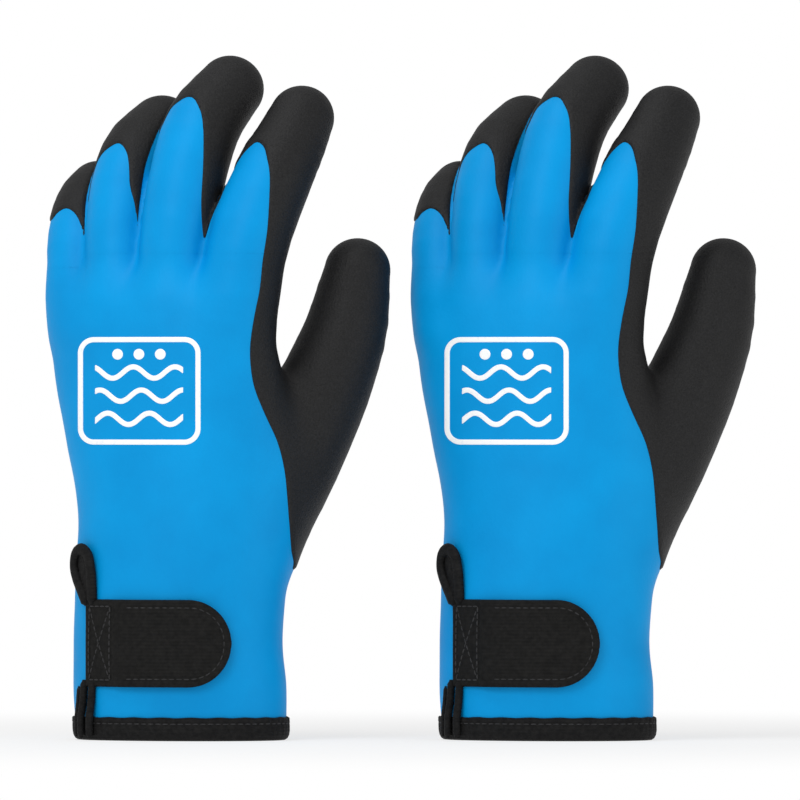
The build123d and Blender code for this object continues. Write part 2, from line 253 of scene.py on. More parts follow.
def surface_net(low, high, size):
    """Points and quads on the glove's surface, from a regular grid."""
    axes = [np.arange(a, b, size) for a, b in zip(low, high)]
    shape = tuple(len(a) for a in axes)
    field = np.empty(shape)
    for i, x in enumerate(axes[0]):
        yy, zz = np.meshgrid(axes[1], axes[2], indexing="ij")
        slab = np.stack([np.full(yy.size, x), yy.ravel(), zz.ravel()], axis=1)
        field[i] = glove_distance(slab).reshape(shape[1:])
    inside = field < 0
    cells = tuple(n - 1 for n in shape)
    corners = [(i, j, k) for i in (0, 1) for j in (0, 1) for k in (0, 1)]

    def part(array, corner):
        return array[tuple(slice(c, c + n) for c, n in zip(corner, cells))]

    filled = sum(part(inside, c).astype(np.int8) for c in corners)
    active = (filled > 0) & (filled < 8)
    number = np.full(cells, -1)
    number[active] = np.arange(active.sum())
    total = np.zeros((active.sum(), 3))
    count = np.zeros(active.sum())
    for a in corners:
        for axis in range(3):
            if a[axis]:
                continue
            b = tuple(1 if k == axis else v for k, v in enumerate(a))
            fa, fb = part(field, a)[active], part(field, b)[active]
            crossing = (fa < 0) != (fb < 0)
            t = np.where(crossing, fa / np.where(crossing, fa - fb, 1), 0)
            spot = np.tile(np.array(a, float), (len(t), 1))
            spot[:, axis] += t
            total[crossing] += spot[crossing]
            count[crossing] += 1
    cell_index = np.argwhere(active)
    points = np.array(low) + (cell_index + total / count[:, None]) * size
    quads = []
    for axis in range(3):
        p, q = (axis + 1) % 3, (axis + 2) % 3
        first = [slice(None)] * 3
        second = [slice(None)] * 3
        first[axis], second[axis] = slice(0, -1), slice(1, None)
        a, b = inside[tuple(first)], inside[tuple(second)]
        for rising in (True, False):
            edges = np.argwhere(a & ~b if rising else ~a & b)
            ok = (edges[:, p] > 0) & (edges[:, q] > 0) & (edges[:, p] < cells[p]) & (edges[:, q] < cells[q])
            edges = edges[ok]
            ring = []
            for dp, dq in ((-1, -1), (0, -1), (0, 0), (-1, 0)):
                cell = edges.copy()
                cell[:, p] += dp
                cell[:, q] += dq
                ring.append(number[tuple(cell.T)])
            ring = np.stack(ring, axis=1)
            quads.append(ring if rising else ring[:, ::-1])
    return points, np.vstack(quads)


def relax(points, quads, rounds):
    """Evens out the mesh, keeping it on the surface."""
    pairs = np.vstack([quads[:, [0, 1]], quads[:, [1, 2]], quads[:, [2, 3]], quads[:, [3, 0]]])
    for _ in range(rounds):
        total = np.zeros_like(points)
        count = np.zeros(len(points))
        for a, b in ((0, 1), (1, 0)):
            for axis in range(3):
                total[:, axis] += np.bincount(pairs[:, a], points[pairs[:, b], axis], len(points))
            count += np.bincount(pairs[:, a], minlength=len(points))
        points = 0.4 * points + 0.6 * total / np.maximum(count, 1)[:, None]
    return onto_surface(points)


def split_quads(points, quads):
    """Triangles along each quad's shorter diagonal."""
    a, b, c, d = (points[quads[:, k]] for k in range(4))
    short = np.linalg.norm(a - c, axis=1) <= np.linalg.norm(b - d, axis=1)
    one = np.where(short[:, None], quads[:, [0, 1, 2]], quads[:, [0, 1, 3]])
    two = np.where(short[:, None], quads[:, [0, 2, 3]], quads[:, [1, 2, 3]])
    return np.vstack([one, two])


def clip(points, triangles, value):
    """The part of a mesh where value is positive, cut exactly along its zero line."""
    keep = value > 0
    kept_corners = keep[triangles]
    count = kept_corners.sum(axis=1)
    whole = triangles[count == 3]
    cut = triangles[(count == 1) | (count == 2)]
    inside = keep[cut]
    lone = np.where(inside.sum(axis=1) == 1, inside.argmax(axis=1), (~inside).argmax(axis=1))
    rows = np.arange(len(cut))
    apex, left, right = cut[rows, lone], cut[rows, (lone + 1) % 3], cut[rows, (lone + 2) % 3]
    pairs = np.sort(np.vstack([np.stack([apex, left], 1), np.stack([apex, right], 1)]), axis=1)
    edges, back = np.unique(pairs, axis=0, return_inverse=True)
    back = back.reshape(-1)
    va, vb = value[edges[:, 0]], value[edges[:, 1]]
    t = (va / np.where(va == vb, 1, va - vb))[:, None]
    fresh = points[edges[:, 0]] * (1 - t) + points[edges[:, 1]] * t
    new_left, new_right = len(points) + back[: len(cut)], len(points) + back[len(cut):]
    solo = inside[rows, lone]
    tip = np.stack([apex, new_left, new_right], 1)[solo]
    body_one = np.stack([new_left, left, right], 1)[~solo]
    body_two = np.stack([new_left, right, new_right], 1)[~solo]
    faces = np.vstack([whole, tip, body_one, body_two])
    return compact(np.vstack([points, fresh]), faces)


def compact(points, triangles):
    """Drops points that no triangle uses, and triangles with no area."""
    used, back = np.unique(triangles, return_inverse=True)
    triangles = back.reshape(triangles.shape)
    points = points[used]
    a, b, c = (points[triangles[:, k]] for k in range(3))
    sound = np.linalg.norm(np.cross(b - a, c - a), axis=1) > 1e-7
    return points, triangles[sound]


def open_edges(triangles):
    """Directed edges on the mesh's rim."""
    edges = np.vstack([triangles[:, [0, 1]], triangles[:, [1, 2]], triangles[:, [2, 0]]])
    size = int(triangles.max()) + 1
    forward = edges[:, 0] * size + edges[:, 1]
    backward = edges[:, 1] * size + edges[:, 0]
    return edges[~np.isin(forward, backward)]


def close_layer(points, triangles, normals, outer, inner):
    """A closed layer between two offsets of one surface patch."""
    rim = open_edges(triangles)
    n = len(points)
    outside = points + normals * np.asarray(outer).reshape(-1, 1)
    inside = points + normals * np.asarray(inner).reshape(-1, 1)
    walls = np.vstack([
        np.stack([rim[:, 1], rim[:, 0], rim[:, 0] + n], 1),
        np.stack([rim[:, 1], rim[:, 0] + n, rim[:, 1] + n], 1),
    ])
    faces = np.vstack([triangles, triangles[:, ::-1] + n, walls])
    return np.vstack([outside, inside]), faces


# ---- Where the coating covers the shell ----


def smooth_outline(corners, sharp):
    """A closed outline, curved between its sharp corners."""
    corners = [tuple(map(float, c)) for c in corners]
    breaks = [i for i, c in enumerate(corners) if c in {tuple(map(float, s)) for s in sharp}]
    pieces = []
    for i, j in zip(breaks, breaks[1:] + [breaks[0] + len(corners)]):
        run = [corners[k % len(corners)] for k in range(i, j + 1)]
        pieces.append(smooth_table(run, 3 * (len(run) - 1) + 1)[:-1])
    return np.vstack(pieces)


def inside_outline(x, z, outline):
    """Distance inside a closed outline; negative outside it."""
    best = np.full(len(x), 1e9)
    inside = np.zeros(len(x), bool)
    for (ax, az), (bx, bz) in zip(outline, np.roll(outline, -1, axis=0)):
        ux, uz = bx - ax, bz - az
        t = np.clip(((x - ax) * ux + (z - az) * uz) / (ux * ux + uz * uz + 1e-12), 0, 1)
        best = np.minimum(best, (x - ax - t * ux) ** 2 + (z - az - t * uz) ** 2)
        if az != bz:
            crosses = (az > z) != (bz > z)
            inside ^= crosses & (x < ax + (z - az) * ux / uz)
    return np.where(inside, 1, -1) * np.sqrt(best)


def backward(points, normals):
    """How far each point lies on the glove's back: from the middle of the hand, or as each finger faces."""
    _, through, _, _ = hand_coordinates(points)
    turn = math.radians(BACK_FACING)
    facing = normals @ np.array([-math.sin(turn), -math.cos(turn), 0.0])
    mix = np.clip((points[:, 2] - 166.0) / 18.0, 0, 1)
    mix = mix * mix * (3 - 2 * mix)
    return (1 - mix) * (3.0 - through) + mix * 12.0 * (facing + 0.12)


OUTLINE = smooth_outline(BACK_OUTLINE, BACK_CORNERS)


def shell_shows(points):
    """About how many millimetres inside the bare blue area each point is; negative under the coating."""
    normals = surface_normals(points)
    turned_away = 1 + np.clip(normals[:, 1], -1, 0.3)
    on_fingers = np.clip((points[:, 2] - 190.0) / 12.0, 0, 1)
    seen = inside_outline(points[:, 0], points[:, 2], OUTLINE) - 1.6 * turned_away * on_fingers
    back = smooth_min(seen, backward(points, normals), 1.2)
    foot = COATING_FOOT + 2.5 * np.sin(points[:, 0] / 30.0) - points[:, 2]
    return smooth_max(back, foot, 2.0)


# ---- Glove surface, split where its pieces meet ----


def limb_rise(points, name):
    """How far each point is beyond the cut at the limb's base."""
    if name != "thumb":
        return points[:, 2] - CUT_RISE[name]
    pivot = np.array(SPINES["thumb"][2][:3])
    along = np.array(SPINES["thumb"][4][:3]) - pivot
    return (points - pivot) @ along / np.linalg.norm(along) - CUT_RISE["thumb"]


def nearest_limb(points):
    """For each limb, how much nearer each point is to it than to the other limbs."""
    distances = np.stack([limb_distance(points, FINE_SPINES[name]) for name in LIMBS], axis=1)
    margins = {}
    for i, name in enumerate(LIMBS):
        others = np.delete(distances, i, axis=1).min(axis=1)
        margins[name] = others - distances[:, i]
    return margins


def patches(size, rounds):
    """The glove's surface as one patch for the hand and one for each limb."""
    points, quads = surface_net(*SURFACE_BOX, size)
    points = relax(points, quads, rounds)
    triangles = split_quads(points, quads)
    points, triangles = clip(points, triangles, points[:, 2] - CUFF_EDGE)
    found = {name: clip_twice(points, triangles, name, OVERLAP) for name in LIMBS}
    found["hand"] = clip(points, triangles, hand_side_value(points))
    return found


def clip_twice(points, triangles, name, overlap):
    """A limb's own patch: beyond its cut, then nearer to it than to its neighbours."""
    points, triangles = clip(points, triangles, limb_rise(points, name) + overlap)
    return clip(points, triangles, nearest_limb(points)[name])


def hand_side_value(points):
    """Positive on the hand: below every limb's cut, by the limb that each point is nearest to."""
    margins = nearest_limb(points)
    value = np.full(len(points), 1e9)
    for name in LIMBS:
        value = np.where(margins[name] >= 0, OVERLAP - limb_rise(points, name), value)
    return value


def tuck(points, name):
    """How far a patch sinks where it runs on under its neighbour."""
    if name == "hand":
        beyond = OVERLAP - hand_side_value(points)
    else:
        beyond = -limb_rise(points, name)
    return 0.014 * np.clip(beyond, 0, OVERLAP) ** 2


# ---- Blender objects ----


def new_mesh(name, points, triangles):
    """A mesh straight from arrays of points and triangles."""
    mesh = bpy.data.meshes.new(name)
    mesh.vertices.add(len(points))
    mesh.vertices.foreach_set("co", np.asarray(points, np.float32).ravel())
    mesh.loops.add(3 * len(triangles))
    mesh.loops.foreach_set("vertex_index", np.asarray(triangles, np.int32).ravel())
    mesh.polygons.add(len(triangles))
    mesh.polygons.foreach_set("loop_start", np.arange(0, 3 * len(triangles), 3, dtype=np.int32))
    mesh.update(calc_edges=True)
    mesh.polygons.foreach_set("use_smooth", np.ones(len(triangles), bool))
    mesh.validate()
    return mesh


def add_piece(name, points, triangles, material, origin, sharp=None):
    """A mesh object in metres in the row frame, from points in a glove's own millimetres."""
    placed = np.asarray(points) * MM + origin
    mesh = new_mesh(name, placed, np.asarray(triangles))
    mesh.materials.append(material)
    if sharp:
        mesh.set_sharp_from_angle(angle=math.radians(sharp))
    piece = bpy.data.objects.new(name, mesh)
    bpy.context.scene.collection.objects.link(piece)
    return piece


# ---- Materials ----


class Nodes:
    """A short way to write a material's node tree."""

    def __init__(self, name):
        self.material = bpy.data.materials.new(name)
        self.material.use_nodes = True
        self.tree = self.material.node_tree
        self.shader = self.tree.nodes["Principled BSDF"]
        self.place = self.add("ShaderNodeTexCoord").outputs["Object"]

    def add(self, kind, inputs=None, **settings):
        """A node with these settings, each named input set to a value or fed by another node."""
        node = self.tree.nodes.new(kind)
        for key, value in settings.items():
            setattr(node, key, value)
        for key, value in (inputs or {}).items():
            self.feed(node.inputs[key], value)
        return node

    def feed(self, socket, value):
        if hasattr(value, "is_output"):
            self.tree.links.new(value, socket)
        else:
            socket.default_value = value

    def noise(self, scale, detail=2.0, rough=0.5):
        inputs = {"Vector": self.place, "Scale": scale, "Detail": detail, "Roughness": rough}
        return self.add("ShaderNodeTexNoise", inputs).outputs["Fac"]

    def cells(self, scale, place=None):
        inputs = {"Vector": place or self.place, "Scale": scale}
        return self.add("ShaderNodeTexVoronoi", inputs).outputs["Distance"]

    def stretch(self, scale):
        return self.add("ShaderNodeMapping", {"Vector": self.place, "Scale": scale}).outputs["Vector"]

    def bands(self, scale, direction, distortion=0.0):
        inputs = {"Vector": self.place, "Scale": scale, "Distortion": distortion}
        return self.add("ShaderNodeTexWave", inputs, bands_direction=direction).outputs["Fac"]

    def math(self, operation, a, b):
        return self.add("ShaderNodeMath", {0: a, 1: b}, operation=operation).outputs[0]

    def ramp(self, source, stops):
        node = self.add("ShaderNodeValToRGB", {"Fac": source})
        elements = node.color_ramp.elements
        while len(elements) < len(stops):
            elements.new(0.5)
        for element, (spot, colour) in zip(elements, stops):
            element.position = spot
            element.color = (*colour, 1)
        return node.outputs["Color"]

    def level(self, source, low, high):
        inputs = {"Value": source, "To Min": low, "To Max": high}
        return self.add("ShaderNodeMapRange", inputs).outputs["Result"]

    def bump(self, height, distance, strength=1.0, under=None):
        inputs = {"Height": height, "Distance": distance, "Strength": strength}
        if under is not None:
            inputs["Normal"] = under
        return self.add("ShaderNodeBump", inputs).outputs["Normal"]

    def finish(self, **sockets):
        for name, value in sockets.items():
            self.feed(self.shader.inputs[name.replace("_", " ")], value)
        return self.material


def latex_shell():
    """Smooth blue latex over a fine knit: the stitches show through as a faint rib."""
    m = Nodes("blue_latex_shell")
    cloudy = m.noise(38, 3.0)
    colour = m.ramp(cloudy, [(0.3, (0.0, 0.270, 0.640)), (0.7, (0.0, 0.312, 0.715))])
    knit = m.stretch((1.0, 1.0, 0.7))
    ribs = m.cells(900, knit)
    fine = m.noise(1500, 2.0)
    normal = m.bump(ribs, 0.00010, 0.35)
    normal = m.bump(fine, 0.00008, 0.30, normal)
    normal = m.bump(cloudy, 0.0006, 0.35, normal)
    rough = m.level(m.noise(120, 3.0), 0.42, 0.54)
    return m.finish(Base_Color=colour, Roughness=rough, Normal=normal, Specular_IOR_Level=0.10)


def sandy_coating():
    """Black foam latex with a sandy grip finish."""
    m = Nodes("black_sandy_coating")
    mottle = m.noise(55, 4.0)
    grain = m.noise(1900, 3.0, 0.65)
    colour = m.ramp(grain, [(0.35, (0.0050, 0.0050, 0.0053)), (0.72, (0.0190, 0.0190, 0.0196))])
    pits = m.cells(1250)
    normal = m.bump(pits, 0.00022, 0.55)
    normal = m.bump(grain, 0.00020, 0.6, normal)
    normal = m.bump(mottle, 0.0008, 0.3, normal)
    rough = m.level(mottle, 0.50, 0.66)
    return m.finish(Base_Color=colour, Roughness=rough, Normal=normal, Specular_IOR_Level=0.23)


def fleece():
    """Clumped grey fleece."""
    m = Nodes("grey_fleece_lining")
    fibres = m.noise(2600, 5.0, 0.7)
    clumps = m.noise(420, 3.0)
    colour = m.ramp(clumps, [(0.3, (0.050, 0.052, 0.056)), (0.75, (0.110, 0.112, 0.118))])
    normal = m.bump(clumps, 0.0009, 0.6)
    normal = m.bump(fibres, 0.0004, 0.6, normal)
    return m.finish(Base_Color=colour, Roughness=0.95, Normal=normal, Sheen_Weight=0.4)


def woven_tape(name, dark, light):
    """Narrow woven tape: ribs along its height and finer threads across them."""
    m = Nodes(name)
    threads = m.math("ADD", m.bands(240, "Z", distortion=0.4), m.noise(1800, 3.0))
    ribs = m.cells(1100, m.stretch((1, 1, 0.55)))
    colour = m.ramp(m.noise(600, 4.0), [(0.3, dark), (0.75, light)])
    normal = m.bump(threads, 0.00025, 0.5)
    normal = m.bump(ribs, 0.00025, 0.5, normal)
    rough = m.level(m.noise(300, 2.0), 0.62, 0.80)
    return m.finish(Base_Color=colour, Roughness=rough, Normal=normal, Specular_IOR_Level=0.12)


def tape_with_hooks(name, scale, depth, colour_low, colour_high):
    """One half of a hook-and-loop pair: small heads over a fuzzy ground."""
    m = Nodes(name)
    heads = m.cells(scale)
    colour = m.ramp(heads, [(0.1, colour_high), (0.6, colour_low)])
    normal = m.bump(heads, depth, 0.9)
    normal = m.bump(m.noise(2200, 4.0), depth * 0.5, 0.6, normal)
    return m.finish(Base_Color=colour, Roughness=0.7, Normal=normal)


def sewing_thread():
    m = Nodes("black_sewing_thread")
    twist = m.bands(1500, "DIAGONAL")
    colour = m.ramp(m.noise(800, 2.0), [(0.3, (0.020, 0.020, 0.021)), (0.7, (0.042, 0.042, 0.044))])
    normal = m.bump(twist, 0.00008, 0.6)
    return m.finish(Base_Color=colour, Roughness=0.55, Normal=normal, Specular_IOR_Level=0.2)


def screen_print():
    """White print with slight thin spots, following the knit below."""
    m = Nodes("white_screen_print")
    worn = m.noise(700, 4.0)
    colour = m.ramp(worn, [(0.25, (0.78, 0.85, 0.90)), (0.45, (0.93, 0.95, 0.96))])
    normal = m.bump(m.cells(900, m.stretch((1, 1, 0.7))), 0.00010, 0.35)
    return m.finish(Base_Color=colour, Roughness=m.level(worn, 0.50, 0.62), Normal=normal)


MATERIALS = {
    "shell": latex_shell(),
    "coating": sandy_coating(),
    "liner": fleece(),
    "binding": woven_tape("black_binding_tape", (0.0045, 0.0045, 0.0048), (0.0135, 0.0132, 0.0130)),
    "webbing": woven_tape("black_strap_webbing", (0.0050, 0.0050, 0.0048), (0.0130, 0.0126, 0.0120)),
    "hook": tape_with_hooks("hook_tape", 1100, 0.0006, (0.008, 0.008, 0.008), (0.03, 0.03, 0.03)),
    "loop": tape_with_hooks("loop_tape", 1700, 0.0004, (0.010, 0.010, 0.010), (0.028, 0.028, 0.028)),
    "thread": sewing_thread(),
    "print": screen_print(),
}

# ---- Cuff parts: shapes laid on the cuff's own surface ----


def cuff_angle(x, z, outset=0.0):
    """The angle round the cuff, on the back of the hand, where its surface has this X."""
    angles = np.linspace(math.pi, 2 * math.pi, 721)
    xs = cuff_point(angles, np.full(angles.shape, float(z)), outset)[:, 0]
    return float(np.interp(x, xs, angles))


def cuff_point(angle, z, outset):
    """Points round the cuff at an angle from the thumb's side, this far outside its surface."""
    x, y, a, b, turn = hand_section(np.asarray(z, float))
    u, v = (a + outset) * np.cos(angle), (b + outset) * np.sin(angle)
    across = x + u * np.cos(turn) + v * np.sin(turn)
    through = y - u * np.sin(turn) + v * np.cos(turn)
    return np.stack([across, through, z], axis=-1)


def cuff_normal(angle, z):
    """The way out of the cuff at each point."""
    near, far = cuff_point(angle, z, 0.0), cuff_point(angle, z, 1.0)
    out = far - near
    return out / np.linalg.norm(out, axis=-1, keepdims=True)


def index_faces(index):
    """Triangles over a grid of point numbers."""
    a, b, c, d = index[:-1, :-1], index[1:, :-1], index[1:, 1:], index[:-1, 1:]
    return np.vstack([np.stack([a, b, c], -1).reshape(-1, 3), np.stack([a, c, d], -1).reshape(-1, 3)])


def grid_faces(rows, columns):
    """Triangles over a grid of points stored row by row."""
    return index_faces(np.arange(rows * columns).reshape(rows, columns))


def closed_sweep(rings, wrap):
    """A closed solid from rings of points: wrapped into a loop, or capped at both ends."""
    count, around, _ = rings.shape
    index = np.arange(count * around).reshape(count, around)
    index = np.hstack([index, index[:, :1]])
    if wrap:
        index = np.vstack([index, index[:1]])
    faces = [index_faces(index)]
    points = rings.reshape(-1, 3)
    if not wrap:
        for ring, flip in ((0, True), (count - 1, False)):
            points = np.vstack([points, rings[ring].mean(axis=0)])
            hub = np.full(around, len(points) - 1)
            edge = np.arange(around) + ring * around
            after = (np.arange(around) + 1) % around + ring * around
            faces.append(np.stack([hub, after, edge] if flip else [hub, edge, after], 1))
    return points, np.vstack(faces)


def cut_grid(shape, angles, heights):
    """A grid of cuff angles and heights cut to a shape, and each point's distance inside the shape."""
    grid_a, grid_z = np.meshgrid(angles, heights, indexing="ij")
    flat = np.stack([grid_a.ravel(), grid_z.ravel(), np.zeros(grid_a.size)], axis=1)
    faces = grid_faces(len(angles), len(heights))
    flat, faces = clip(flat, faces, shape(flat[:, 0], flat[:, 1]))
    return flat[:, 0], flat[:, 1], faces, shape(flat[:, 0], flat[:, 1])


def outline_on_cuff(shape, angles, heights, depths, edge):
    """A flat strip cut to a shape and laid round the cuff.

    shape gives, for each grid point, its distance inside the outline; depths are the strip's outset
    at its back and at its face; edge is the rounding of its rim."""
    angle, z, faces, distance = cut_grid(shape, angles, heights)
    inside = np.clip(distance, 0, edge) / edge
    round_edge = 0.25 + 0.75 * np.sqrt(1 - (1 - inside) ** 2)
    low, high = depths
    half = (high - low) / 2
    ripple = 0.10 * np.sin(z * 0.9 + 3 * angle) * inside
    top = low + half + half * round_edge + ripple
    bottom = low + half - half * round_edge
    points, triangles = close_layer(cuff_point(angle, z, 0.0), faces, cuff_normal(angle, z), top, bottom)
    return points, orient(points, triangles)


def orient(points, triangles):
    """Turns a closed mesh's faces outward."""
    a, b, c = (points[triangles[:, k]] for k in range(3))
    volume = np.einsum("ij,ij->", a, np.cross(b, c))
    return triangles if volume > 0 else triangles[:, ::-1]


def join(parts):
    """Several solids as one list of points and triangles."""
    points, faces, start = [], [], 0
    for part_points, part_faces in parts:
        points.append(part_points)
        faces.append(np.asarray(part_faces) + start)
        start += len(part_points)
    return np.vstack(points), np.vstack(faces)


STRAP_LOW, STRAP_HIGH = 20.0, 52.5
STRAP_MIDDLE, STRAP_HALF = (STRAP_LOW + STRAP_HIGH) / 2, (STRAP_HIGH - STRAP_LOW) / 2
STRAP_SEWN_X, STRAP_FOLD_X, STRAP_TIP_X = -36.2, -25.0, 19.6
STRAP_SEAM = 3.0  # how far inside the strap's edge its stitches run
STRAP_OUTSET = 2.6  # about how far the strap stands out, which is where its X positions are measured


def strap_angle(x):
    """The cuff angle of an X position on the strap's middle line."""
    return cuff_angle(x, STRAP_MIDDLE, STRAP_OUTSET)


def strap_shape(start_x, tip_x, margin):
    """Distance inside a band with one round end, for points given by cuff angle and height."""
    half = STRAP_HALF - margin

    def inside(angle, z):
        x = cuff_point(angle, z, STRAP_OUTSET)[:, 0]
        rise = np.abs(z - STRAP_MIDDLE)
        ahead = np.maximum(x - (tip_x - half), 0)
        tip = half - np.hypot(ahead, rise)
        return np.minimum(tip, (x - start_x) * 1.4)

    return inside


def strap_lift(x):
    """Clearance under the strap: the sewn end lies on the cuff, and the free end on its tapes."""
    return 0.35 + 1.55 / (1 + np.exp(-(x - STRAP_FOLD_X) / 1.3))


def strap_grid(start_x, tip_x, step):
    """Cuff angles and heights of a grid a little larger than a strap, in steps of about this length."""
    first, last = strap_angle(start_x - 1.5), strap_angle(tip_x + 1.5)
    length = (last - first) * 38  # about 38 mm of cuff to a radian
    angles = np.linspace(first, last, int(length / step))
    return angles, np.arange(STRAP_LOW - 1, STRAP_HIGH + 1, step)


def make_strap():
    """The strap as one band from its sewn end to its round tip, with a pressed seam inside its edge."""
    shape = strap_shape(STRAP_SEWN_X, STRAP_TIP_X, 0)
    angle, z, faces, inside = cut_grid(shape, *strap_grid(STRAP_SEWN_X, STRAP_TIP_X, 0.55))
    edge = np.sqrt(1 - (1 - np.clip(inside / 0.9, 0, 1)) ** 2)
    x = cuff_point(angle, z, STRAP_OUTSET)[:, 0]
    seam = 0.22 * np.exp(-((inside - STRAP_SEAM) / 0.45) ** 2)
    box = 0.25 * np.exp(-((x - STRAP_FOLD_X + 0.6) / 0.5) ** 2)
    top = strap_lift(x) + 0.35 + 1.05 * edge - seam - box
    bottom = strap_lift(x) + 0.35 - 0.30 * edge
    points, triangles = close_layer(cuff_point(angle, z, 0.0), faces, cuff_normal(angle, z), top, bottom)
    return points, orient(points, triangles)


def make_stitches(route, outset, length, gap, width):
    """Short raised stitches along a route of cuff angles and heights."""
    route = np.asarray(route, float)
    spots = cuff_point(route[:, 0], route[:, 1], np.zeros(len(route)))
    travel = np.concatenate([[0], np.cumsum(np.linalg.norm(np.diff(spots, axis=0), axis=1))])
    count = int(travel[-1] / (length + gap))
    parts = []
    for i in range(count):
        start = i * (length + gap) + gap / 2
        s = np.linspace(start, start + length, 7)
        angle, z = np.interp(s, travel, route[:, 0]), np.interp(s, travel, route[:, 1])
        height = outset(angle, z) if callable(outset) else np.full(7, outset)
        swell = np.sin(np.linspace(0.12, math.pi - 0.12, 7))
        normal = cuff_normal(angle, z)
        centre = cuff_point(angle, z, 0.0) + normal * (height + 0.10 * swell)[:, None]
        half_width, half_height = width * (0.45 + 0.55 * swell), width * 0.6 * swell + 0.05
        parts.append(tube(centre, normal, half_width, half_height, 8))
    return join(parts)


def tube(centre, normal, half_width, half_height, around):
    """A closed tube of oval section along a line of points, flat side to the surface."""
    heading = np.gradient(centre, axis=0)
    heading /= np.linalg.norm(heading, axis=1)[:, None]
    side = np.cross(heading, normal)
    side /= np.linalg.norm(side, axis=1)[:, None]
    up = np.cross(side, heading)
    turn = np.linspace(0, 2 * math.pi, around, endpoint=False)
    width = np.broadcast_to(half_width, len(centre))[:, None, None]
    height = np.broadcast_to(half_height, len(centre))[:, None, None]
    rings = (
        centre[:, None, :]
        + side[:, None, :] * np.cos(turn)[None, :, None] * width
        + up[:, None, :] * np.sin(turn)[None, :, None] * height
    )
    points, faces = closed_sweep(rings, False)
    return points, orient(points, faces)


HEM_GROOVE = 6.35  # height of the hem's row of stitches


def make_hem():
    """Binding tape folded over the cuff's edge, a little puckered where it is sewn."""
    outline = np.array([
        (0.10, 8.3), (0.55, 8.7), (1.05, 8.35), (1.15, 6.9), (0.92, HEM_GROOVE), (1.15, 5.8),
        (1.20, 3.6), (0.95, 1.9), (0.35, 0.7), (-0.6, 0.1), (-1.7, 0.0), (-3.3, 0.0),
        (-4.1, 0.45), (-4.3, 1.6), (-4.3, 3.6), (-4.2, 5.8), (-4.0, HEM_GROOVE), (-4.2, 6.9),
        (-4.1, 8.3), (-3.8, 8.6), (-3.4, 8.3), (-3.35, 1.2), (-1.6, 0.9), (0.05, 1.2),
    ])
    count = 480
    turn = np.linspace(0, 2 * math.pi, count, endpoint=False)
    pucker = 0.09 * np.sin(turn * 62) + 0.06 * np.sin(turn * 37 + 1.0)
    rings = np.empty((count, len(outline), 3))
    for k, (outset, z) in enumerate(outline):
        share = min(z / 6.0, 1.0) * (1.0 if outset > 0.2 or outset < -3.6 else 0.0)
        rise = 0.12 * np.sin(turn * 23 + 0.6) * (z > 7)
        rings[:, k] = cuff_point(turn, z + rise, outset + pucker * share * np.sign(outset))
    points, faces = closed_sweep(rings, True)
    return points, orient(points, faces)


def hem_stitches():
    """The row of stitches in the hem's groove."""
    turn = np.linspace(0.02, 2 * math.pi, 720)
    route = np.stack([turn, np.full(len(turn), HEM_GROOVE)], axis=1)
    return make_stitches(route, 0.98, 2.0, 0.75, 0.26)


def surface_tube(route, half_width, half_height, outset):
    """A flat tape on edge or lying along a route of cuff X and height."""
    route = smooth_table(np.asarray(route, float), 10 * len(route))
    angle = np.array([cuff_angle(x, z) for x, z in route[:, :2]])
    lift = np.interp(np.linspace(0, 1, len(route)), np.linspace(0, 1, len(outset)), outset)
    normal = cuff_normal(angle, route[:, 1])
    centre = cuff_point(angle, route[:, 1], 0.0) + normal * lift[:, None]
    ends = np.clip(np.minimum(np.arange(len(route)), np.arange(len(route))[::-1]) / 3.0, 0.25, 1) ** 0.5
    return tube(centre, normal, half_width * ends, half_height * ends, 16)


def make_slit():
    """Tape bound round the slit at the cuff's outer edge: a loop above the strap, its ends below."""
    loop = [(-33.4, 50.5), (-34.8, 55), (-36.4, 60), (-37.2, 65), (-36.5, 69.4), (-34.4, 71.0),
            (-32.3, 68.8), (-31.5, 63.5), (-31.3, 57.5), (-31.5, 50.5)]
    parts = [surface_tube(loop, 2.3, 1.7, (1.3, 1.8, 2.2, 2.3, 2.3, 2.1, 1.8, 1.3))]
    for route, half_width, half_height, outset in (
        ([(-33.2, 51.0), (-34.2, 58.0), (-34.9, 65.0), (-34.6, 69.8)], 4.3, 0.9, (1.0, 1.3, 1.6, 1.5)),
        ([(-34.6, 22.5), (-34.6, 15.0), (-34.7, 8.0), (-34.7, 0.9)], 1.6, 1.4, (1.0, 1.4, 2.3, 2.2)),
        ([(-31.6, 22.5), (-31.6, 15.0), (-31.6, 8.0), (-31.6, 0.9)], 1.6, 1.4, (1.0, 1.4, 2.3, 2.2)),
        ([(-37.3, 20.0), (-37.5, 14.0), (-37.6, 8.0), (-37.7, 1.3)], 1.4, 0.7, (0.3, 0.5, 1.1, 1.1)),
    ):
        parts.append(surface_tube(route, half_width, half_height, outset))
    return join(parts)


# ---- Badge printed on the back ----

BADGE = {"left": -38.0, "right": 8.0, "low": 110.0, "high": 150.0, "corner": 6.0, "line": 1.9}


